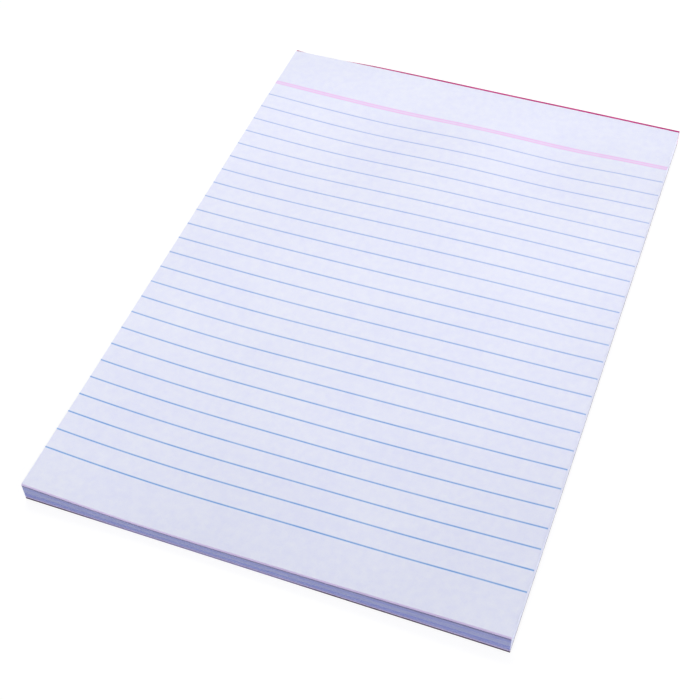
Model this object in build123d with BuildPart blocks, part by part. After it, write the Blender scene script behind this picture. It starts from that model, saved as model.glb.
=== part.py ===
from build123d import *
import os

# Writing pad: a block of ruled leaves on a backing board, gummed together along the head.
# It lies on its board, ruled side up: X runs across the page, Y towards the head and Z up.
# The origin is under the middle of the pad, and all lengths are in millimetres.

# The pad as a whole, from the outside of the gum to the foot
pad_width = 145.0
pad_length = 210.0

# The board under the leaves, with its lower edges worn round
board_thickness = 0.7
board_edge_round = 0.2

# The leaves: the stack where it lies closest, and the most that their bends lift it
stack_height = 3.8
bend_rise = 3.5

# The slits between leaves that have parted at the cut edges, away from the gummed head
slit_height = 0.15
slit_depth = 0.6
bound_reach = 15.0

# The coat of gum on the head, with a rim that drops below the top leaf
gum_thickness = 0.8
gum_rim_drop = 0.8
gum_edge_round = 0.3

# The printed rules, soaked into the top leaf: a pair near the head, then one after another
# at an even pitch, as many as leave a margin at the foot
ink_depth = 0.1
head_margin = 20.4
head_rule_width = 0.6
head_rule_spacing = 1.3
first_rule_drop = 7.3
rule_width = 0.35
rule_pitch = 7.0
foot_margin = 14.0

# How far a cut runs past what it cuts
overrun = 1.0

# The lie of the top leaf. Places across are shares of half the width, and places down are
# shares of the leaf's length from the head. Both run a little past the edges of the paper.
# The bends are shares of the rise: the sides curl up, a valley runs down the left half,
# a ridge swells in the upper right, and the gum holds the head flat.
across_shares = (-1.04, -0.80, -0.45, -0.10, 0.15, 0.45, 0.75, 1.04)
down_shares = (-0.02, 0.03, 0.13, 0.23, 0.33, 0.55, 0.64, 0.75, 0.90, 1.02)
head_bend_share = 0.45
held_flat_shares = (head_bend_share,) * len(across_shares)
bend_shares = (
    held_flat_shares,
    held_flat_shares,
    (0.60, 0.35, 0.10, 0.25, 0.40, 0.20, 0.35, 0.55),
    (0.60, 0.35, 0.20, 0.40, 0.45, 0.40, 0.50, 0.60),
    (0.55, 0.35, 0.35, 0.55, 0.65, 0.70, 0.70, 0.70),
    (0.55, 0.35, 0.20, 0.25, 0.35, 0.50, 0.60, 0.80),
    (0.65, 0.30, 0.10, 0.25, 0.40, 0.55, 0.65, 0.80),
    (0.70, 0.30, 0.05, 0.10, 0.15, 0.35, 0.60, 0.95),
    (0.80, 0.35, 0.05, 0.15, 0.30, 0.45, 0.75, 1.05),
    (0.85, 0.55, 0.25, 0.35, 0.45, 0.65, 0.85, 0.90),
)

# Levels in the stack, as shares of its height: the slits, and the face of the top leaf
slit_shares = (0.14, 0.30, 0.47, 0.62, 0.76, 0.88)
top_share = 1.0

# The rim of the gum: shares of half the width, and shares of the most that it drops
rim_across_shares = (-1.00, -0.93, -0.80, -0.65, -0.45, -0.10, 0.35, 0.70, 1.00)
rim_drop_shares = (0.75, 0.95, 0.95, 0.65, 0.45, 0.35, 0.35, 0.30, 0.00)

# Worked out from the sizes above
half_width = pad_width / 2
leaf_length = pad_length - gum_thickness
foot_y = -pad_length / 2
head_y = foot_y + leaf_length
blank_height = stack_height + bend_rise + overrun
blank_top = board_thickness + blank_height
head_height = board_thickness + stack_height + head_bend_share * bend_rise
head_rules_y = pad_length / 2 - head_margin
first_rule_y = head_rules_y - first_rule_drop
rule_count = int((first_rule_y - foot_y - foot_margin) / rule_pitch) + 1
middle_rule_y = first_rule_y - rule_pitch * (rule_count - 1) / 2
upward = Axis.Z.direction


def leaf_face(level_share):
    """Spans the bent face of the leaf at this share of the stack's height."""
    lie = []
    for down, row_shares in zip(down_shares, bend_shares):
        y = head_y - down * leaf_length
        row = []
        for across, bend in zip(across_shares, row_shares):
            lift = level_share * (stack_height + bend * bend_rise)
            row.append((across * half_width, y, board_thickness + lift))
        lie.append(row)
    curves_across = [Spline(*row) for row in lie]
    curves_down = [Spline(*column) for column in zip(*lie)]
    return Face.make_gordon_surface(curves_across, curves_down)


top_face = leaf_face(top_share)
parted_faces = [leaf_face(share) for share in slit_shares]

# Backing board, cut flush with the leaves
with BuildPart() as backing_board:
    with BuildSketch(Plane((0, foot_y, 0))):
        Rectangle(pad_width, leaf_length, align=(Align.CENTER, Align.MIN))
    extrude(amount=board_thickness)
    fillet(backing_board.faces().sort_by(Axis.Z)[0].edges(), radius=board_edge_round)

# Printed rules: strips of the ink that lies in the face of the top leaf
with BuildPart() as blue_rules:
    with BuildSketch(Plane((0, middle_rule_y, 0))):
        with GridLocations(pad_width, rule_pitch, 1, rule_count):
            Rectangle(pad_width, rule_width)
    extrude(amount=blank_top)
    extrude(top_face, amount=-ink_depth, dir=upward, mode=Mode.INTERSECT)

with BuildPart() as head_rules:
    with BuildSketch(Plane((0, head_rules_y, 0))):
        with GridLocations(pad_width, head_rule_spacing, 1, 2):
            Rectangle(pad_width, head_rule_width)
    extrude(amount=blank_top)
    extrude(top_face, amount=-ink_depth, dir=upward, mode=Mode.INTERSECT)

# Slits between parted leaves, open at the foot and both sides and closed inside and at the head
with BuildPart() as slits:
    extrude(parted_faces, amount=slit_height, dir=upward)
    with BuildSketch(Plane((0, head_y + bound_reach, 0))):
        Rectangle(
            pad_width - 2 * slit_depth,
            bound_reach + leaf_length - slit_depth,
            align=(Align.CENTER, Align.MAX),
        )
        Rectangle(2 * pad_width, 2 * bound_reach, align=(Align.CENTER, Align.MAX))
    extrude(amount=blank_top, mode=Mode.SUBTRACT)

# Leaves as one block: a cut blank, less the air above the top leaf, the slits and the ink's beds
with BuildPart() as page_block:
    with BuildSketch(Plane((0, foot_y, board_thickness))):
        Rectangle(pad_width, leaf_length, align=(Align.CENTER, Align.MIN))
    extrude(amount=blank_height)
    extrude(top_face, amount=blank_height, dir=upward, mode=Mode.SUBTRACT)
    add(slits.part, mode=Mode.SUBTRACT)
    add(blue_rules.part, mode=Mode.SUBTRACT)
    add(head_rules.part, mode=Mode.SUBTRACT)

# Gum brushed over the head edges of the leaves and the board: round along its rim and its base,
# and cut flush with the sides of the pad
with BuildPart() as gum_binding:
    with BuildSketch(Plane.XZ.offset(-head_y)):
        with BuildLine():
            rim_points = []
            for across, drop in zip(rim_across_shares, rim_drop_shares):
                rim_points.append((across * half_width, head_height - drop * gum_rim_drop))
            rim = Spline(*rim_points)
            Polyline(rim @ 1, (half_width, 0), (-half_width, 0), rim @ 0)
        make_face()
    extrude(amount=-gum_thickness)
    outer_edges = gum_binding.faces().sort_by(Axis.Y)[-1].edges()
    fillet(outer_edges.sort_by(SortBy.LENGTH)[-2:], radius=gum_edge_round)

# Each piece is labelled and written to its own file
os.makedirs("parts", exist_ok=True)
backing_board.part.label = "backing_board"
export_step(backing_board.part, "parts/backing_board.step")
page_block.part.label = "page_block"
export_step(page_block.part, "parts/page_block.step")
blue_rules.part.label = "blue_rules"
export_step(blue_rules.part, "parts/blue_rules.step")
head_rules.part.label = "head_rules"
export_step(head_rules.part, "parts/head_rules.step")
gum_binding.part.label = "gum_binding"
export_step(gum_binding.part, "parts/gum_binding.step")
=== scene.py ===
# %% [markdown]
# # A writing pad
# The object is a plain pad of ruled paper: about fifty leaves on a thin dark board, held together
# by a coat of red gum along the head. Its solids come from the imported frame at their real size,
# and this lesson dresses them. Each piece is made where the frame says it is, in metres, with X
# across the page, Y towards the head and Z up. We load the frame first and keep its box, because
# the dressed pad must fit in it.

# %% Load the frame
import math

import bpy
import numpy as np
from mathutils import Matrix, Vector, noise
from mathutils.bvhtree import BVHTree


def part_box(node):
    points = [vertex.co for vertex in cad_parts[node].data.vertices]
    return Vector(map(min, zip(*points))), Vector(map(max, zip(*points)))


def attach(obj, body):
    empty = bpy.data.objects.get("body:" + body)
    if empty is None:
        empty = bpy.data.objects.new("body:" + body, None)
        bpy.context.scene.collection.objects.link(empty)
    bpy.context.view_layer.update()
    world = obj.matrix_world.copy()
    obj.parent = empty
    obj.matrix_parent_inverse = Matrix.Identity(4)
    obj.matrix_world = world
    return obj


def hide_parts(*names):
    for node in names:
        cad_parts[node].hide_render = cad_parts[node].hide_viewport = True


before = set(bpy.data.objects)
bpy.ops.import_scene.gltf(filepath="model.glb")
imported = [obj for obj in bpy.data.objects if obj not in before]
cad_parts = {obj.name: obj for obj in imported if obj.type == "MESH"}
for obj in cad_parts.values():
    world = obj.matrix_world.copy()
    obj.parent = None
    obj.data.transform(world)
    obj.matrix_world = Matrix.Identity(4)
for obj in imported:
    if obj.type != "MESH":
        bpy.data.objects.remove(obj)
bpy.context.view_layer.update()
mm = 0.001
print("frame nodes:", sorted(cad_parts))

# %% [markdown]
# ## The lie of the paper
# A pad that has been handled doesn't lie flat: its sides curl up, a valley runs down one half and
# the gum holds the head level. The solids already have that shape, but as flat facets, and facets
# would show in soft light. So we feel the top of the solids with rays cast straight down, and fit
# one smooth surface through what they touch. A product of Legendre polynomials in X and Y suits a
# sheet of paper, because it bends gently everywhere and has no seams.

# %% Feel the top leaf and fit a smooth surface
board_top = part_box("backing_board")[1].z
block_low, block_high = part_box("page_block")
half_width = block_high.x
foot_y, head_y = block_low.y, block_high.y
leaf_length = head_y - foot_y
middle_y = (foot_y + head_y) / 2
downward = Vector((0, 0, -1))


def solid_search(*nodes):
    """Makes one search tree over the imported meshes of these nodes, to cast rays at."""
    corners, faces = [], []
    for name in nodes:
        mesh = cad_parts[name].data
        first = len(corners)
        corners += [vertex.co.copy() for vertex in mesh.vertices]
        faces += [[first + corner for corner in face.vertices] for face in mesh.polygons]
    return BVHTree.FromPolygons(corners, faces)


def places_of(mesh):
    """The mesh's points as an array of rows x, y, z."""
    points = np.empty(3 * len(mesh.vertices))
    mesh.vertices.foreach_get("co", points)
    return points.reshape(-1, 3)


def height_below(search, x, y):
    """The height at which a ray that falls at this place meets the solids."""
    above = Vector((x, y, block_high.z + mm))
    return search.ray_cast(above, downward)[0].z


probe_columns, probe_rows = 49, 70
probe_inset = 0.1 * mm
bends_across, bends_down = 9, 13
paper_search = solid_search("page_block", "blue_rules", "head_rules")
probe_x = np.linspace(-half_width + probe_inset, half_width - probe_inset, probe_columns)
probe_y = np.linspace(foot_y + probe_inset, head_y - probe_inset, probe_rows)
probe_x, probe_y = (places.ravel() for places in np.meshgrid(probe_x, probe_y))
felt = np.array([height_below(paper_search, x, y) for x, y in zip(probe_x, probe_y)])


def bend_terms(x, y):
    """The Legendre terms of the sheet at these places."""
    across, down = np.asarray(x) / half_width, (np.asarray(y) - middle_y) / (leaf_length / 2)
    return np.polynomial.legendre.legvander2d(across, down, (bends_across, bends_down))


bend_weights = np.linalg.lstsq(bend_terms(probe_x, probe_y), felt, rcond=None)[0]
misfit = bend_terms(probe_x, probe_y) @ bend_weights - felt
print(f"top leaf: {felt.min() / mm:.2f} to {felt.max() / mm:.2f} mm high,"
      f" fitted to {misfit.std() / mm:.3f} mm, at worst {abs(misfit).max() / mm:.3f} mm")

# %% [markdown]
# ## The sag behind the gum
# The gum holds the head level, and just behind it the sheet sags, a little deeper than the solids
# do. The pink pair is printed right there, and its curve shows the sag best. The fitted surface
# could be given more terms, but one soft hollow, a bell in X and Y, is easier to place.

# %% Let the sheet sag behind the head
sag_depth = 0.4 * mm
sag_x, sag_y = 16 * mm, 85 * mm
sag_across, sag_along = 42 * mm, 7 * mm


def leaf_height(x, y):
    """The height of the top leaf's upper face at these places."""
    across, along = (np.asarray(x) - sag_x) / sag_across, (np.asarray(y) - sag_y) / sag_along
    return bend_terms(x, y) @ bend_weights - sag_depth * np.exp(-(across ** 2) - along ** 2)


print(f"the sheet lies {float(leaf_height(sag_x, sag_y)) / mm:.2f} mm high in the sag")

# %% [markdown]
# ## A short way to write nodes
# Both the Geometry Nodes trees and the materials below are built in script. One helper adds a node
# with its settings and inputs, and links an input when it is given a socket. With it a tree reads
# nearly like a sum on paper. Colours are written as a paint chart gives them, from 0 to 255, and
# are turned into the linear light that shaders count in.


# %% Helpers for node trees and colours
def add(tree, kind, inputs=None, **settings):
    """Adds a node to a tree. An input is a socket to link, or a plain value."""
    made = tree.nodes.new(kind)
    for name, value in settings.items():
        setattr(made, name, value)
    for key, value in (inputs or {}).items():
        if isinstance(value, bpy.types.NodeSocket):
            tree.links.new(value, made.inputs[key])
        else:
            made.inputs[key].default_value = value
    return made


def maths(tree, operation, first, second=0.0, third=0.0, clamp=False):
    """Adds a Math node and returns its result, kept from 0 to 1 if it is clamped."""
    terms = {0: first, 1: second, 2: third}
    return add(tree, "ShaderNodeMath", terms, operation=operation, use_clamp=clamp).outputs[0]


def tint(red, green, blue):
    """A colour from a paint chart, as linear light with full cover."""
    chart = np.array([red, green, blue]) / 255
    light = np.where(chart <= 0.04045, chart / 12.92, ((chart + 0.055) / 1.055) ** 2.4)
    return (*light.tolist(), 1.0)


def new_material(name):
    """An empty material with its tree, its own Object coordinates and a surface shader."""
    material = bpy.data.materials.new(name)
    material.use_nodes = True
    tree = material.node_tree
    shader = tree.nodes["Principled BSDF"]
    places = add(tree, "ShaderNodeTexCoord").outputs["Object"]
    return material, tree, shader, places


def blotches(tree, places, size, detail=2.0, stretch=(1, 1, 1)):
    """Soft random blotches of about this size, from 0 to 1, longer where stretch is small."""
    stretched = add(tree, "ShaderNodeMapping", {"Vector": places, "Scale": stretch})
    texture = {"Vector": stretched.outputs[0], "Scale": 1 / size, "Detail": detail}
    return add(tree, "ShaderNodeTexNoise", texture).outputs["Fac"]


def blend_tints(tree, share, first, second):
    """Mixes two colours by a share from 0 to 1."""
    mix = add(tree, "ShaderNodeMix", data_type="RGBA")
    for place, value in ((0, share), (6, first), (7, second)):
        if isinstance(value, bpy.types.NodeSocket):
            tree.links.new(value, mix.inputs[place])
        else:
            mix.inputs[place].default_value = value
    return mix.outputs[2]


def spread(tree, share, low, high):
    """Stretches the span from low to high of a share over 0 to 1."""
    limits = {"Value": share, "From Min": low, "From Max": high}
    return add(tree, "ShaderNodeMapRange", limits).outputs[0]


def bump(tree, shader, height, depth, strength):
    """Gives a shader small relief of this depth, from a height of 0 to 1."""
    relief = {"Height": height, "Distance": depth, "Strength": strength}
    tree.links.new(add(tree, "ShaderNodeBump", relief).outputs[0], shader.inputs["Normal"])


print("helpers ready: nodes, sums, tints, blotches, relief")

# %% [markdown]
# ## Where the ink goes
# The rules are printed in thin ink: pale blue down the page, and a pink pair near the head. Where
# they lie, how many there are and how wide they are is read from the frame, because the faces of
# the ink's solids cover bands along Y. Ink on writing paper has no hard border: it bleeds into the
# fibres beside the blue rules, and it fills the gap of the pink pair, so that the pair looks like
# one soft band from arm's length. So the ink has two parts, a film on the leaf and a stain in
# it, and both use the same cover, which is uneven along a rule and fades out at its borders. On
# this sheet the blue is a weak grey near the head and grows stronger and bluer towards the foot.


# %% Find the rules and describe the inks
def mark(tree, name):
    """Reads a mark that a mesh carries, as a plain number."""
    return add(tree, "ShaderNodeAttribute", attribute_name=name).outputs["Fac"]


def weigh(tree, *shares):
    """Adds up pairs of a value and its weight."""
    total = 0.0
    for value, weight in shares:
        total = maths(tree, "MULTIPLY_ADD", value, weight, total)
    return total


def rule_bands(node):
    """The lower and upper edge of each rule of this node, from the foot up."""
    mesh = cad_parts[node].data
    corner_y = places_of(mesh)[:, 1]
    face_y = [corner_y[list(face.vertices)] for face in mesh.polygons]
    spans = sorted((ys.min(), ys.max()) for ys in face_y)
    bands = [list(spans[0])]
    for low, high in spans:
        if low > bands[-1][1]:
            bands.append([low, high])
        bands[-1][1] = max(bands[-1][1], high)
    return np.array(bands)


def rule_pitch(bands):
    """The step from one rule to the next."""
    return np.diff(bands.mean(axis=1)).mean() if len(bands) > 1 else leaf_length


def soft_rules(tree, places, ink):
    """1 in the ink's bands and 0 where it has faded out beside them."""
    y = add(tree, "ShaderNodeSeparateXYZ", {0: places}).outputs["Y"]
    first, pitch = ink["bands"].mean(axis=1)[0], rule_pitch(ink["bands"])
    steps = maths(tree, "DIVIDE", maths(tree, "SUBTRACT", y, first), pitch)
    nearest = maths(tree, "MAXIMUM", maths(tree, "ROUND", steps), 0.0)
    nearest = maths(tree, "MINIMUM", nearest, len(ink["bands"]) - 1)
    away = maths(tree, "ABSOLUTE", maths(tree, "SUBTRACT", steps, nearest))
    return spread(tree, maths(tree, "MULTIPLY", away, pitch), ink["faded"], ink["full"])


patch_size = 9 * mm
patch_weight, tooth_weight, least_cover = 0.45, 0.15, 0.66


def ink_over(tree, places, tooth, under, ink, strength):
    """Lays this strength of an ink over the colour under it."""
    patches = blotches(tree, places, patch_size, 3.0)
    uneven = weigh(tree, (patches, patch_weight), (tooth, tooth_weight))
    cover = maths(tree, "ADD", uneven, least_cover)
    cover = maths(tree, "MULTIPLY", cover, soft_rules(tree, places, ink))
    y = add(tree, "ShaderNodeSeparateXYZ", {0: places}).outputs["Y"]
    ink_tint = blend_tints(tree, spread(tree, y, head_y, foot_y), ink["head"], ink["foot"])
    return blend_tints(tree, maths(tree, "MULTIPLY", cover, strength), under, ink_tint)


blue_bands, pair_bands = rule_bands("blue_rules"), rule_bands("head_rules")
blue_ink = {
    "bands": blue_bands, "full": np.ptp(blue_bands, axis=1).mean() / 2, "faded": 0.36 * mm,
    "head": tint(168, 184, 233), "foot": tint(26, 146, 222),
}
pink_ink = {
    "bands": np.array([[pair_bands.min(), pair_bands.max()]]), "full": 0.7 * mm, "faded": 0.95 * mm,
    "head": tint(238, 198, 242), "foot": tint(238, 198, 242),
}
print("rules:", len(blue_bands), "blue and", len(pair_bands), "pink")

# %% [markdown]
# ## Writing paper
# The leaves are uncoated writing paper, a cool white with a breath of lavender. Close to, such
# paper is never one colour: it is cloudy where fibres lie thicker, and its face has a dry tooth.
# The cut edges are painted darker and bluer than the face: a little for the packed fibre ends the
# blade leaves, and mostly as painted shade, full on the foot edge and faint on the others. A scan
# could give all that, but three sizes of noise do it at any distance. Marks on the mesh say which
# faces are cut edges and how much of that shade each takes, which leaf each belongs to, so that
# every edge has its own tone, and which leaves the blade rolled over at the top, whose edges get a
# painted highlight as a pale rim. The edges of the leaves just below that rim get painted shade, a
# dusky violet, while the lowest ones are painted lighter for the light they catch from the table.
# The stain of the ink belongs to the paper too, but only the top leaves take it, which carry the
# mark of the rim.

# %% Make the paper
paper_pale, paper_deep = tint(237, 240, 253), tint(227, 230, 252)
# Painted shade: the cut edges are darker and bluer than the face.
shaded_edge_pale, shaded_edge_deep = tint(187, 194, 243), tint(140, 148, 236)
# Painted highlight for the rim, painted shade for the edges just below it, painted table light for the
# lowest edges.
rim_highlight_tint, under_rim_shade_tint, table_light_tint = tint(224, 201, 243), tint(100, 86, 164), tint(205, 186, 243)
# Leaves whose edges get the painted shade under the rim.
under_rim_shade_begins, under_rim_shade_full = 40, 45
# Lowest leaves, whose edges are painted lighter for light from the table.
base_begins, base_full = 6, 3
blue_stain, pink_stain = 0.5, 0.58
cloud_size, flock_size, fibre_size = 22 * mm, 2.2 * mm, 0.35 * mm


def paper_face(tree, places):
    """The mottled colour of the paper's face, and the height of its tooth from 0 to 1."""
    clouds = blotches(tree, places, cloud_size)
    flocks = blotches(tree, places, flock_size)
    fibres = blotches(tree, places, fibre_size, 4.0)
    mottle = weigh(tree, (clouds, 0.25), (flocks, 0.4), (fibres, 0.35))
    face_tint = blend_tints(tree, spread(tree, mottle, 0.33, 0.67), paper_pale, paper_deep)
    return face_tint, weigh(tree, (flocks, 0.5), (fibres, 0.5))


paper, tree, shader, places = new_material("writing_paper")
face_tint, tooth = paper_face(tree, places)
streaks = blotches(tree, places, 6 * mm, 3.0, stretch=(1, 1, 40))
leaf_number = mark(tree, "leaf")
leaf_tone = add(tree, "ShaderNodeTexWhiteNoise", {"W": leaf_number}, noise_dimensions="1D")
leaf_tone = leaf_tone.outputs["Value"]
sheaf_tone = {"W": leaf_number, "Scale": 0.12, "Detail": 2.0}
sheaf_tone = add(tree, "ShaderNodeTexNoise", sheaf_tone, noise_dimensions="1D").outputs["Fac"]
edge_share = weigh(tree, (streaks, 0.3), (leaf_tone, 0.2), (sheaf_tone, 0.5))
# The cut edges' painted shade, paler or deeper at random by streak, leaf and sheaf.
edge_light_and_shade = blend_tints(tree, spread(tree, edge_share, 0.41, 0.59), shaded_edge_pale, shaded_edge_deep)
# Painted shade on the edges of the leaves just below the rim.
under_rim_shade = spread(tree, leaf_number, under_rim_shade_begins, under_rim_shade_full)
edge_light_and_shade = blend_tints(tree, under_rim_shade, edge_light_and_shade, under_rim_shade_tint)
# Painted light from the table on the edges of the lowest leaves.
near_base = spread(tree, leaf_number, base_begins, base_full)
edge_light_and_shade = blend_tints(tree, near_base, edge_light_and_shade, table_light_tint)
on_top = mark(tree, "rim")
# Painted highlight on the cut edges of the rolled top sheaf.
edge_light_and_shade = blend_tints(tree, on_top, edge_light_and_shade, rim_highlight_tint)
for ink, stain in ((blue_ink, blue_stain), (pink_ink, pink_stain)):
    strength = maths(tree, "MULTIPLY", on_top, stain)
    face_tint = ink_over(tree, places, tooth, face_tint, ink, strength)
# Each cut edge takes its share of the painted light and shade by its cut_edge mark.
whole_tint = blend_tints(tree, mark(tree, "cut_edge"), face_tint, edge_light_and_shade)
tree.links.new(whole_tint, shader.inputs["Base Color"])
tree.links.new(maths(tree, "MULTIPLY_ADD", tooth, 0.2, 0.75), shader.inputs["Roughness"])
shader.inputs["Specular IOR Level"].default_value = 0.1
bump(tree, shader, tooth, 0.04 * mm, 0.4)
print("paper:", len(tree.nodes), "nodes")

# %% [markdown]
# ## One leaf
# A leaf is a sheet with two faces and four cut edges. A plane with a Solidify modifier would do,
# but we want three facts on every leaf: which faces are cut edges, how high the stack stands at
# each place, and sharp corners all round. So it is built as a closed grid of points, with the lower
# face at height 0 and the upper face at height 1, ready to be laid at any level. The foot edge is
# marked to take the full painted shade of a cut edge, and the other edges only a trace of it.

# %% Helper that cuts one leaf
# The share of a cut edge's painted shade that the head and side edges take.
side_shade_share = 0.05


def cut_leaf(name, columns, rows, side_inset, foot_inset):
    """Makes a closed flat leaf, of unit thickness, with its faces and edges marked."""
    across = np.linspace(-half_width + side_inset, half_width - side_inset, columns + 1)
    along = np.linspace(foot_y + foot_inset, head_y, rows + 1)
    sheet = [(x, y) for y in along for x in across]
    points = [(x, y, side) for side in (0.0, 1.0) for x, y in sheet]
    wide, count = columns + 1, len(sheet)
    quads = []
    for row in range(rows):
        for column in range(columns):
            first = row * wide + column
            lower = (first, first + wide, first + wide + 1, first + 1)
            quads.append(lower)
            quads.append(tuple(count + corner for corner in reversed(lower)))
    rim = list(range(columns))
    rim += [row * wide + columns for row in range(rows)]
    rim += [rows * wide + column for column in range(columns, 0, -1)]
    rim += [row * wide for row in range(rows, 0, -1)]
    sides = [(a, b, count + b, count + a) for a, b in zip(rim, rim[1:] + rim[:1])]
    mesh = bpy.data.meshes.new(name)
    mesh.from_pydata(points, [], quads + sides)
    edge_mark = mesh.attributes.new("cut_edge", "FLOAT", "FACE")
    # The foot edge takes all of a cut edge's painted shade, the other edges a trace.
    foot_marks, other_marks = [1.0] * columns, [side_shade_share] * (columns + 2 * rows)
    edge_mark.data.foreach_set("value", [0.0] * len(quads) + foot_marks + other_marks)
    leaf = bpy.data.objects.new(name, mesh)
    bpy.context.scene.collection.objects.link(leaf)
    return leaf


print("leaf cutter ready")

# %% [markdown]
# ## The stack of leaves
# Under the top leaf lie some fifty more. They could be one block with lines painted on its sides,
# but real leaves part here and there, slip a little and catch the light along their edges. So each
# is a leaf of its own. Geometry Nodes repeat one leaf up the stack: a running total adds up the
# pitch of the leaves and the random partings between them, and each leaf takes its share of the
# height that the stack has at that place. The gum holds the leaves shut at the head, and the
# partings open a little way down from it. The blade rolled the topmost sheaf over at the foot, so
# its edges slant back and catch the light, and a painted highlight in the paper makes them a pale
# rim. A wider parting below draws a dark line, deepened by painted shade on the edges under it.
# Lower down the leaves have slipped a little, most of all at the free foot.

# %% Build the tree that stacks leaves
stacker = bpy.data.node_groups.new("stack_of_leaves", "GeometryNodeTree")


def tree_inputs(tree, kinds):
    """Gives a tree its named inputs and one geometry output, and returns the input node."""
    for name, kind in kinds.items():
        tree.interface.new_socket(name, in_out="INPUT", socket_type="NodeSocket" + kind)
    tree.interface.new_socket("Geometry", in_out="OUTPUT", socket_type="NodeSocketGeometry")
    return add(tree, "NodeGroupInput").outputs


given = tree_inputs(stacker, {
    "Leaf": "Geometry", "Leaves": "Int", "Leaf Fill": "Float", "Parting Chance": "Float",
    "Parting": "Float", "Held Shut": "Float", "Top Sheaf": "Int", "Top Parting": "Float",
    "Slip": "Float", "Top Setback": "Float", "Board Top": "Float", "Head": "Float", "Length": "Float",
    "Paper": "Material", "Seed": "Int",
})


def random_value(tree, kind, seed, places):
    """Adds a Random Value node of this kind, drawn by leaf number."""
    node = add(tree, "FunctionNodeRandomValue", data_type=kind)
    for socket in node.inputs:
        if socket.enabled and socket.name in places:
            value = places[socket.name]
            if isinstance(value, bpy.types.NodeSocket):
                tree.links.new(value, socket)
            else:
                socket.default_value = value
    tree.links.new(seed, node.inputs["Seed"])
    return next(socket for socket in node.outputs if socket.enabled)


number = add(stacker, "GeometryNodeInputIndex").outputs[0]
second_seed = maths(stacker, "ADD", given["Seed"], 1)
third_seed = maths(stacker, "ADD", given["Seed"], 2)
parts = random_value(stacker, "FLOAT", given["Seed"], {"Min": 0.0, "Max": 1.0})
parts = maths(stacker, "LESS_THAN", parts, given["Parting Chance"])
width = random_value(stacker, "FLOAT", second_seed, {"Min": 0.3, "Max": 1.0})
gap = maths(stacker, "MULTIPLY", maths(stacker, "MULTIPLY", parts, width), given["Parting"])
sheaf_start = maths(stacker, "SUBTRACT", given["Leaves"], given["Top Sheaf"])
opens_sheaf = maths(stacker, "COMPARE", number, sheaf_start, 0.5)
gap = maths(stacker, "MULTIPLY_ADD", opens_sheaf, given["Top Parting"], gap)
pitch = maths(stacker, "ADD", gap, 1)
running = add(stacker, "GeometryNodeAccumulateField", {0: pitch})
below, whole = maths(stacker, "SUBTRACT", running.outputs["Leading"], 1), running.outputs["Total"]
level = maths(stacker, "DIVIDE", below, whole)
thick = maths(stacker, "DIVIDE", given["Leaf Fill"], whole)
in_sheaf = maths(stacker, "GREATER_THAN", number, maths(stacker, "SUBTRACT", sheaf_start, 0.5))
slip = random_value(stacker, "FLOAT_VECTOR", third_seed, {"Min": (-1, -1, 0), "Max": (1, 1, 0)})

one_each = {"Count": given["Leaves"], "Offset": (0, 0, 0)}
points = add(stacker, "GeometryNodeMeshLine", one_each).outputs[0]
# The rim mark also gives the sheaf's cut edges a painted highlight in the paper.
facts = (("leaf", "FLOAT", number), ("level", "FLOAT", level), ("thick", "FLOAT", thick),
         ("rim", "FLOAT", in_sheaf), ("slip", "FLOAT_VECTOR", slip))
for name, kind, value in facts:
    stored = {"Geometry": points, "Name": name, "Value": value}
    points = add(stacker, "GeometryNodeStoreNamedAttribute", stored, data_type=kind).outputs[0]
copies = {"Points": points, "Instance": given["Leaf"]}
stacked = add(stacker, "GeometryNodeInstanceOnPoints", copies).outputs[0]
stacked = add(stacker, "GeometryNodeRealizeInstances", {"Geometry": stacked}).outputs[0]


def fact(tree, name, kind="FLOAT"):
    """Reads a named attribute in a tree."""
    reader = add(tree, "GeometryNodeInputNamedAttribute", {"Name": name}, data_type=kind)
    return reader.outputs["Attribute"]


position = add(stacker, "GeometryNodeInputPosition").outputs[0]
flat = add(stacker, "ShaderNodeSeparateXYZ", {0: position}).outputs
slips = add(stacker, "ShaderNodeSeparateXYZ", {0: fact(stacker, "slip", "FLOAT_VECTOR")}).outputs
down = maths(stacker, "DIVIDE", maths(stacker, "SUBTRACT", given["Head"], flat["Y"]), given["Length"])
in_order = maths(stacker, "ADD", fact(stacker, "leaf"), flat["Z"])
rolled = maths(stacker, "SUBTRACT", in_order, sheaf_start)
rolled = maths(stacker, "DIVIDE", rolled, given["Top Sheaf"], clamp=True)
setback = maths(stacker, "MULTIPLY", rolled, given["Top Setback"])
below_sheaf = maths(stacker, "SUBTRACT", 1, fact(stacker, "rim"))
slip_reach = maths(stacker, "MULTIPLY", below_sheaf, given["Slip"])
sideways = maths(stacker, "MULTIPLY", slips["X"], slip_reach)
backward = maths(stacker, "MULTIPLY_ADD", slips["Y"], slip_reach, setback)
open_lift = maths(stacker, "MULTIPLY_ADD", flat["Z"], fact(stacker, "thick"), fact(stacker, "level"))
shut_lift = maths(stacker, "MULTIPLY_ADD", flat["Z"], given["Leaf Fill"], fact(stacker, "leaf"))
shut_lift = maths(stacker, "DIVIDE", shut_lift, given["Leaves"])
opened = maths(stacker, "DIVIDE", down, given["Held Shut"], clamp=True)
opening = maths(stacker, "SUBTRACT", open_lift, shut_lift)
lift = maths(stacker, "MULTIPLY_ADD", opening, opened, shut_lift)
laid = add(stacker, "ShaderNodeCombineXYZ", {
    "X": maths(stacker, "MULTIPLY_ADD", sideways, down, flat["X"]),
    "Y": maths(stacker, "MULTIPLY_ADD", backward, down, flat["Y"]),
    "Z": maths(stacker, "MULTIPLY_ADD", lift, fact(stacker, "stack_height"), given["Board Top"]),
}).outputs[0]
stacked = add(stacker, "GeometryNodeSetPosition", {"Geometry": stacked, "Position": laid}).outputs[0]
papered = {"Geometry": stacked, "Material": given["Paper"]}
stacked = add(stacker, "GeometryNodeSetMaterial", papered).outputs[0]
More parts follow.
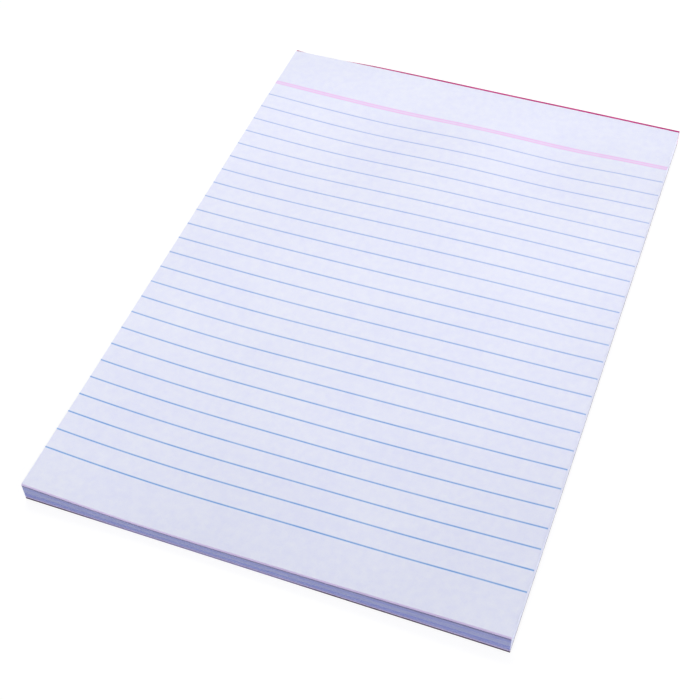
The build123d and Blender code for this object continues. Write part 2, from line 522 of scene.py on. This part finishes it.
add(stacker, "NodeGroupOutput", {"Geometry": stacked})
print("stacking tree:", len(stacker.nodes), "nodes")

# %% [markdown]
# ## Lay the stack
# The tree runs as a modifier on one flat leaf. Each input is set by its socket's identifier, then
# the result is taken as a plain mesh and the modifier goes, because a finished piece is a mesh and
# nothing more. The stack stops a hair below the top leaf, which is laid next with a finer grid.

# %% Lay the leaves under the top one
top_leaf_thickness = 0.08 * mm
top_leaf_room = 0.07 * mm
top_leaf_drop = 0.015 * mm
board_room = 0.01 * mm
leaf_slip = 0.025 * mm
stack_columns, stack_rows = 24, 32
top_setback, top_slant, sheaf_setback = 0.36 * mm, 0.1 * mm, 0.17 * mm


def run_tree(piece, tree, finish, **values):
    """Runs a Geometry Nodes tree on a piece and keeps the result as its plain mesh in one finish."""
    modifier = piece.modifiers.new(tree.name, "NODES")
    modifier.node_group = tree
    for socket in tree.interface.items_tree:
        key = socket.name.lower().replace(" ", "_")
        if socket.in_out == "INPUT" and key in values:
            modifier[socket.identifier] = values[key]
        elif socket.socket_type == "NodeSocketMaterial":
            modifier[socket.identifier] = finish
    evaluated = piece.evaluated_get(bpy.context.evaluated_depsgraph_get())
    mesh = bpy.data.meshes.new_from_object(evaluated)
    piece.modifiers.clear()
    mesh.name = piece.name
    mesh.materials.clear()
    mesh.materials.append(finish)
    piece.data = mesh
    return piece


leaf_stack = cut_leaf("leaf_stack", stack_columns, stack_rows, leaf_slip, leaf_slip)
flat_places = places_of(leaf_stack.data)
stack_height = leaf_height(flat_places[:, 0], flat_places[:, 1]) - board_top
stack_height -= top_leaf_drop + top_leaf_thickness + top_leaf_room + board_room
height_mark = leaf_stack.data.attributes.new("stack_height", "FLOAT", "POINT")
height_mark.data.foreach_set("value", stack_height.astype(np.float32))
run_tree(
    leaf_stack, stacker, paper, leaves=49, leaf_fill=0.92, parting_chance=0.22, parting=1.2,
    held_shut=0.15, top_sheaf=1, top_parting=2.5, slip=leaf_slip, top_setback=sheaf_setback,
    board_top=board_top + board_room, head=head_y, length=leaf_length, seed=7,
)
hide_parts("page_block")
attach(leaf_stack, "root")
print("leaf stack:", len(leaf_stack.data.polygons), "faces")

# %% [markdown]
# ## The top leaf
# The top leaf is the one we look at, so its grid is fine enough to follow every bend. Its faces
# are shaded smooth and its rim is marked sharp, or the light would roll over the cut edge as if the
# sheet were thick card. At the foot its edge slants on in line with the sheaf below.

# %% Lay the top leaf
top_columns, top_rows = 97, 140
top_leaf = cut_leaf("top_leaf", top_columns, top_rows, 0.0, top_setback)
laid = places_of(top_leaf.data)
at_foot = laid[:, 1] < foot_y + top_setback + probe_inset
upper_face = leaf_height(laid[:, 0], laid[:, 1]) - top_leaf_drop
laid[:, 1] -= at_foot * (1 - laid[:, 2]) * top_slant
laid[:, 2] = upper_face - (1 - laid[:, 2]) * top_leaf_thickness
top_leaf.data.vertices.foreach_set("co", laid.ravel())
# The rim mark gives the top leaf the ink's stain and a painted highlight on its cut edges.
top_leaf.data.attributes.new("rim", "FLOAT", "POINT").data.foreach_set("value", np.ones(len(laid)))
top_leaf.data.shade_smooth()
edge_marks = top_leaf.data.attributes["cut_edge"].data
rim_faces = [face for face, edge_mark in zip(top_leaf.data.polygons, edge_marks) if edge_mark.value]
rim_edges = {key for face in rim_faces for key in face.edge_keys}
for edge in top_leaf.data.edges:
    edge.use_edge_sharp = edge.key in rim_edges
top_leaf.data.materials.append(paper)
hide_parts("page_block")
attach(top_leaf, "root")
print("top leaf:", len(top_leaf.data.polygons), "faces")

# %% [markdown]
# ## The film of ink
# The film is what lies on the leaf. It is thin, so the paper's colour shows through it and its
# mottle carries on under the ink. All of it reads Object coordinates, so the ink stays where it is
# printed.


# %% Make the inks
def make_ink(name, ink, strength):
    """A film of this ink on paper."""
    material, tree, shader, places = new_material(name)
    face_tint, tooth = paper_face(tree, places)
    inked = ink_over(tree, places, tooth, face_tint, ink, strength)
    tree.links.new(inked, shader.inputs["Base Color"])
    tree.links.new(maths(tree, "MULTIPLY_ADD", tooth, 0.2, 0.7), shader.inputs["Roughness"])
    shader.inputs["Specular IOR Level"].default_value = 0.1
    bump(tree, shader, tooth, 0.03 * mm, 0.4)
    return material


blue_strength, pink_strength = 0.8, 1.0
blue_film = make_ink("printed_blue", blue_ink, blue_strength)
pink_film = make_ink("printed_pink", pink_ink, pink_strength)
print("inks:", blue_film.name, pink_film.name)

# %% [markdown]
# ## Printed rules
# A rule could be a stripe in the paper's colour, but then its line would only be as sharp as the
# paper's mesh or picture allows. As a film of its own it stays crisp, and it follows the bends of
# the sheet. Geometry Nodes repeat one flat strip down the page, drop rays from it to the leaf, lay
# it where they land and give it the thickness of a film of ink.

# %% Build the tree that prints rules
printer = bpy.data.node_groups.new("printed_rules", "GeometryNodeTree")
given = tree_inputs(printer, {
    "Blank": "Geometry", "Leaf": "Object", "Rules": "Int", "First Rule": "Float", "Pitch": "Float",
    "Length": "Float", "Width": "Float", "Cells": "Int", "Proud": "Float", "Film": "Float",
    "Reach": "Float", "Ink": "Material",
})
strip = add(printer, "GeometryNodeMeshGrid", {
    "Size X": given["Length"], "Size Y": given["Width"], "Vertices X": given["Cells"], "Vertices Y": 3,
}).outputs["Mesh"]
first_place = add(printer, "ShaderNodeCombineXYZ", {"Y": given["First Rule"]}).outputs[0]
step_down = maths(printer, "MULTIPLY", given["Pitch"], -1)
next_place = add(printer, "ShaderNodeCombineXYZ", {"Y": step_down}).outputs[0]
rows = add(printer, "GeometryNodeMeshLine", {
    "Count": given["Rules"], "Start Location": first_place, "Offset": next_place,
}).outputs[0]
rules = add(printer, "GeometryNodeInstanceOnPoints", {"Points": rows, "Instance": strip}).outputs[0]
rules = add(printer, "GeometryNodeRealizeInstances", {"Geometry": rules}).outputs[0]
leaf = add(printer, "GeometryNodeObjectInfo", {"Object": given["Leaf"]}).outputs["Geometry"]
above = add(printer, "ShaderNodeVectorMath", {
    0: add(printer, "GeometryNodeInputPosition").outputs[0],
    1: add(printer, "ShaderNodeCombineXYZ", {"Z": given["Reach"]}).outputs[0],
}, operation="ADD").outputs[0]
landed = add(printer, "GeometryNodeRaycast", {
    "Target Geometry": leaf, "Source Position": above,
    "Ray Direction": (0, 0, -1), "Ray Length": given["Reach"],
}).outputs["Hit Position"]
bed_height = maths(printer, "SUBTRACT", given["Proud"], given["Film"])
sunk = add(printer, "ShaderNodeCombineXYZ", {"Z": bed_height}).outputs[0]
bed = add(printer, "ShaderNodeVectorMath", {0: landed, 1: sunk}, operation="ADD").outputs[0]
rules = add(printer, "GeometryNodeSetPosition", {"Geometry": rules, "Position": bed}).outputs[0]
film = add(printer, "GeometryNodeExtrudeMesh", {
    "Mesh": rules, "Offset": (0, 0, 1), "Offset Scale": given["Film"], "Individual": False,
}).outputs["Mesh"]
under = add(printer, "GeometryNodeFlipFaces", {"Mesh": rules}).outputs[0]
joined = add(printer, "GeometryNodeJoinGeometry")
for part in (film, under):
    printer.links.new(part, joined.inputs[0])
seamless = add(printer, "GeometryNodeMergeByDistance", {
    "Geometry": joined.outputs[0], "Distance": maths(printer, "MULTIPLY", given["Film"], 0.1),
}).outputs[0]
finished = {"Geometry": seamless, "Material": given["Ink"]}
inked = add(printer, "GeometryNodeSetMaterial", finished).outputs[0]
add(printer, "NodeGroupOutput", {"Geometry": inked})
print("printing tree:", len(printer.nodes), "nodes")

# %% [markdown]
# ## Print the page
# The tree runs once for each ink, with the number of rules, their width and their pitch as they
# were read from the frame. The strips have as many cells across as the top leaf, so they bend where
# it does.

# %% Print the blue rules and the pink pair
side_room = 0.03 * mm
film_proud, film_thickness = 0.012 * mm, 0.04 * mm
ray_reach = 20 * mm


def print_rules(name, node, film):
    """Prints the rules of one node on the top leaf."""
    bands = rule_bands(node)
    width = np.ptp(bands, axis=1).mean()
    rules = bpy.data.objects.new(name, bpy.data.meshes.new(name))
    bpy.context.scene.collection.objects.link(rules)
    run_tree(
        rules, printer, film, leaf=top_leaf, rules=len(bands), first_rule=bands[-1].mean(),
        width=width, pitch=rule_pitch(bands), length=2 * (half_width - side_room),
        cells=top_columns + 1, proud=film_proud, film=film_thickness, reach=ray_reach,
    )
    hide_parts(node)
    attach(rules, "root")
    print(f"{name}: {len(bands)} rules {width / mm:.2f} mm wide, {len(rules.data.polygons)} faces")


print_rules("printed_blue_rules", "blue_rules", blue_film)
print_rules("printed_head_rules", "head_rules", pink_film)

# %% [markdown]
# ## The gum
# The head is brushed with a coat of red padding gum, which dries to a soft skin. Its rim wanders
# about the top leaf, the brush leaves ridges along it, and here and there it has gathered in
# a drop. A bevelled box would be too neat, so we sweep a rounded section along the head:
# the rim is felt on the frame's solid with rays and thickens to a bead, and noise takes away a
# little thickness in streaks.

# %% Brush on the gum
gum_low, gum_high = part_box("gum_binding")
gum_thickness = gum_high.y - head_y
gum_search = solid_search("gum_binding")
gum_steps, gum_face_steps, gum_round_steps = 290, 14, 6
rim_round, base_round = 0.08 * mm, 0.3 * mm
bead_height, bead_stand = 0.4 * mm, 0.03 * mm
starved_drop, full_drop = 0.74 * mm, 0.5 * mm
drop_places, drop_height, drop_width = (8 * mm, 19 * mm), 0.12 * mm, 1.4 * mm
ridge_long, ridge_high, ridge_share = 26 * mm, 0.45 * mm, 0.013
lump_long, lump_high, lump_share = 3.5 * mm, 1.6 * mm, 0.007
sharp_angle = math.radians(40)


def rim_height(x):
    """The height of the gum's rim at this place along the head, with its bead and gathered drops.

    Where the solid's rim has dropped far, the brush was short of gum and left no bead.
    """
    inside = min(max(x, gum_low.x + probe_inset), gum_high.x - probe_inset)
    rim = height_below(gum_search, inside, head_y + gum_thickness / 4)
    drops = sum(math.exp(-(((x - place) / drop_width) ** 2)) for place in drop_places)
    leaf_edge = float(leaf_height(x, head_y))
    bead = bead_height * np.interp(leaf_edge - rim, (full_drop, starved_drop), (1, 0))
    return min(rim + bead + drop_height * drops, leaf_edge + bead_stand)


def brush_mark(x, height):
    """The share of the full thickness that the brush has left here."""
    ridges = noise.noise((x / ridge_long, height / ridge_high, 0.0))
    lumps = noise.noise((x / lump_long, height / lump_high, 4.0))
    return 1 - ridge_share - lump_share + ridge_share * ridges + lump_share * lumps


def rounded(radius, bend):
    """How far a rounded edge draws in from its two faces at this bend."""
    return radius * (1 - math.sin(bend)), radius * (1 - math.cos(bend))


def gum_section(x):
    """The outline of the coat at this place, from its inner base round to its inner rim."""
    top = rim_height(x)
    outline = [(0.0, 0.0)]
    for bend in np.linspace(0, math.pi / 2, gum_round_steps + 1):
        inward, upward = rounded(base_round, bend)
        outline.append((gum_thickness - inward, upward))
    for height in np.linspace(base_round, top - rim_round, gum_face_steps + 1)[1:-1]:
        outline.append((gum_thickness, height))
    for bend in np.linspace(0, math.pi / 2, gum_round_steps + 1):
        fall, inward = rounded(rim_round, bend)
        outline.append((gum_thickness - inward, top - fall))
    outline.append((0.0, top))
    return [(x, head_y + out * brush_mark(x, height), height) for out, height in outline]


sections = [gum_section(x) for x in np.linspace(gum_low.x, gum_high.x, gum_steps + 1)]
around = len(sections[0])
gum_points = [point for section in sections for point in section]
gum_faces = [tuple(reversed(range(around)))]
for step in range(gum_steps):
    for corner in range(around):
        following = (corner + 1) % around
        first, second = step * around, (step + 1) * around
        gum_faces.append((first + corner, first + following, second + following, second + corner))
gum_faces.append(tuple(gum_steps * around + corner for corner in range(around)))
gum_mesh = bpy.data.meshes.new("gum_coat")
gum_mesh.from_pydata(gum_points, [], gum_faces)
gum_mesh.shade_smooth()
gum_mesh.set_sharp_from_angle(angle=sharp_angle)
gum_coat = bpy.data.objects.new("gum_coat", gum_mesh)
bpy.context.scene.collection.objects.link(gum_coat)

gum, tree, shader, places = new_material("red_gum")
brushed = blotches(tree, places, 5 * mm, 3.0, stretch=(0.25, 1, 9))
pools = blotches(tree, places, 8 * mm)
shade = weigh(tree, (brushed, 0.6), (pools, 0.4))
red = blend_tints(tree, spread(tree, shade, 0.3, 0.7), tint(204, 14, 134), tint(172, 8, 108))
tree.links.new(red, shader.inputs["Base Color"])
tree.links.new(maths(tree, "MULTIPLY_ADD", brushed, 0.3, 0.4), shader.inputs["Roughness"])
shader.inputs["Specular IOR Level"].default_value = 0.15
bump(tree, shader, brushed, 0.05 * mm, 0.5)
gum_coat.data.materials.append(gum)
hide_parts("gum_binding")
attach(gum_coat, "root")
print("gum coat:", len(gum_coat.data.polygons), "faces")

# %% [markdown]
# ## The board
# The pad is backed with greyboard, pressed from waste paper. The solid from the frame has the right
# shape, so it stays, and only gets its finish: a dark grey with a cast of plum, flecks, long pressed
# fibres, and layers that show at the cut edge. Along part of the foot the blade has dragged paper
# fibre over the board's edge, so there its dark line is lost.

# %% Finish the board
fibre_depth_in, fibre_depth_out = 0.3 * mm, 0.1 * mm
fibre_left_begins, fibre_left_full = -58 * mm, -44 * mm
fibre_right_begins, fibre_right_full = 22 * mm, 4 * mm
fibre_cover = 0.8
board, tree, shader, places = new_material("greyboard")
pulp = blotches(tree, places, 6 * mm, 4.0)
flecks = blotches(tree, places, 0.6 * mm, 3.0)
strands = blotches(tree, places, 2.0 * mm, 3.0, stretch=(0.3, 1, 1))
layers = blotches(tree, places, 4 * mm, 2.0, stretch=(1, 1, 30))
mixed = weigh(tree, (pulp, 0.3), (layers, 0.3), (strands, 0.4))
grey = blend_tints(tree, spread(tree, mixed, 0.35, 0.65), tint(78, 56, 82), tint(58, 42, 66))
dark_fleck = spread(tree, flecks, 0.62, 0.72)
speckled = blend_tints(tree, maths(tree, "MULTIPLY", dark_fleck, 0.6), grey, tint(42, 32, 46))
light_fleck = spread(tree, flecks, 0.36, 0.28)
speckled = blend_tints(tree, maths(tree, "MULTIPLY", light_fleck, 0.5), speckled, tint(132, 114, 132))
spot = add(tree, "ShaderNodeSeparateXYZ", {0: places}).outputs
at_foot_edge = spread(tree, spot["Y"], foot_y + fibre_depth_in, foot_y + fibre_depth_out)
from_left = spread(tree, spot["X"], fibre_left_begins, fibre_left_full)
from_right = spread(tree, spot["X"], fibre_right_begins, fibre_right_full)
dragged = maths(tree, "MULTIPLY", maths(tree, "MULTIPLY", from_left, from_right), at_foot_edge)
dragged = maths(tree, "MULTIPLY", dragged, fibre_cover)
speckled = blend_tints(tree, dragged, speckled, tint(168, 160, 214))
tree.links.new(speckled, shader.inputs["Base Color"])
tree.links.new(maths(tree, "MULTIPLY_ADD", strands, 0.15, 0.8), shader.inputs["Roughness"])
shader.inputs["Specular IOR Level"].default_value = 0.25
bump(tree, shader, maths(tree, "ADD", strands, flecks), 0.05 * mm, 0.5)
board_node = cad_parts["backing_board"]
board_node.data.materials.clear()
board_node.data.materials.append(board)
print("board: finished in", board.name)

# %% [markdown]
# ## The table and the light
# The pad lies on a plain white table in soft light. One lamp stands close behind the head, with a
# grid that keeps its light on the upper half of the page, so the foot and its edge are in shade.
# A second stands low and far off on the right to lighten that side, and an even sky fills the rest.
# The lamps are a shade warm and the sky a shade cool, so the paper turns more lavender where the
# lamps fall off. Together they give a level page about as much light as shows a colour as it is
# written. The table is lifted to white for the camera alone, so that the lift adds no light to the
# pad, and it keeps the pad's shadow.

# %% Set the table, the lamps and the sky
table_reach = 3.0
table_drop = 0.02 * mm
table_grey = 0.2
table_lift = 0.86
corner_signs = ((-1, -1), (1, -1), (1, 1), (-1, 1))
table_mesh = bpy.data.meshes.new("table")
table_corners = [(x * table_reach, y * table_reach, -table_drop) for x, y in corner_signs]
table_mesh.from_pydata(table_corners, [], [(0, 1, 2, 3)])
table = bpy.data.objects.new("table", table_mesh)
bpy.context.scene.collection.objects.link(table)


def seen_directly(tree):
    """1 for rays that the camera sees, straight or by gloss or through glass, and else 0."""
    path = add(tree, "ShaderNodeLightPath").outputs
    seen = maths(tree, "MAXIMUM", path["Is Camera Ray"], path["Is Glossy Ray"])
    return maths(tree, "MAXIMUM", seen, path["Is Transmission Ray"])


table_white = bpy.data.materials.new("white_table")
table_white.use_nodes = True
tree = table_white.node_tree
tree.nodes.clear()
matt = add(tree, "ShaderNodeBsdfDiffuse", {"Color": (table_grey, table_grey, table_grey, 1)}).outputs[0]
lifted = maths(tree, "MULTIPLY", seen_directly(tree), table_lift)
glow = add(tree, "ShaderNodeEmission", {"Strength": lifted}).outputs[0]
surface = add(tree, "ShaderNodeAddShader", {0: matt, 1: glow}).outputs[0]
add(tree, "ShaderNodeOutputMaterial", {"Surface": surface})
table.data.materials.append(table_white)

sky_strength, seen_strength = 0.58, 1.0
sky_tint, seen_tint = (0.985, 0.985, 1.05, 1), (1, 1, 1, 1)
lamp_tint = (1.02, 1.01, 0.92)
world = bpy.data.worlds.new("even_sky")
bpy.context.scene.world = world
world.use_nodes = True
tree = world.node_tree
tree.nodes.clear()
even = add(tree, "ShaderNodeBackground", {"Strength": sky_strength}).outputs[0]
white = add(tree, "ShaderNodeBackground", {"Strength": seen_strength}).outputs[0]
for background, colour in ((even, sky_tint), (white, seen_tint)):
    background.node.inputs["Color"].default_value = colour
sky = add(tree, "ShaderNodeMixShader", {0: seen_directly(tree), 1: even, 2: white}).outputs[0]
add(tree, "ShaderNodeOutputWorld", {"Surface": sky})


def hang_lamp(name, place, aim, size, fan, watts):
    """A square warm lamp aimed at a place on the pad, whose light fans out by this angle."""
    light = bpy.data.lights.new(name, "AREA")
    light.shape = "SQUARE"
    light.size = size
    light.spread = math.radians(fan)
    light.energy = watts
    light.color = lamp_tint
    lamp = bpy.data.objects.new(name, light)
    lamp.location = place
    lamp.rotation_euler = (place - aim).to_track_quat("Z", "Y").to_euler()
    lamp.visible_camera = False
    bpy.context.scene.collection.objects.link(lamp)
    print(f"{name}: {watts} W, {(place - aim).length:.2f} m away")


hang_lamp("head_lamp", Vector((-0.12, 0.28, 0.5)), Vector((0.02, 0.05, 0)), 0.35, 34, 0.157)
hang_lamp("side_lamp", Vector((2.4, -0.8, 0.2)), Vector((0, 0, 0)), 0.5, 180, 60)

# %% [markdown]
# ## The camera
# The camera stands where the photographer stood: to the right of the foot, looking down at about
# fifty degrees with a longish lens. A track-to target would be handy, but the picture also leans a
# little, so its three axes are worked out from the turn, the height and the lean.

# %% Place the camera
picture_width = 700
focal_pixels = 1356.3
camera_place = Vector((100.823, -272.507, 326.233)) * mm
turn, rise, lean = (math.radians(angle) for angle in (22.632, 50.226, -2.643))
back = Vector((math.sin(turn) * math.cos(rise), -math.cos(turn) * math.cos(rise), math.sin(rise)))
level_axis = Vector((math.cos(turn), math.sin(turn), 0))
upright_axis = back.cross(level_axis)
right = math.cos(lean) * level_axis + math.sin(lean) * upright_axis
up = back.cross(right)
camera_data = bpy.data.cameras.new("camera")
camera_data.sensor_width = 36
camera_data.lens = focal_pixels * camera_data.sensor_width / picture_width
camera_data.clip_start = 10 * mm
camera = bpy.data.objects.new("camera", camera_data)
camera_axes = Matrix((right, up, back)).transposed().to_4x4()
camera.matrix_world = Matrix.Translation(camera_place) @ camera_axes
bpy.context.scene.collection.objects.link(camera)
bpy.context.scene.camera = camera
bpy.context.scene.view_settings.view_transform = "Standard"
print(f"camera: {camera_data.lens:.1f} mm lens, {camera_place.length:.3f} m from the pad's middle")
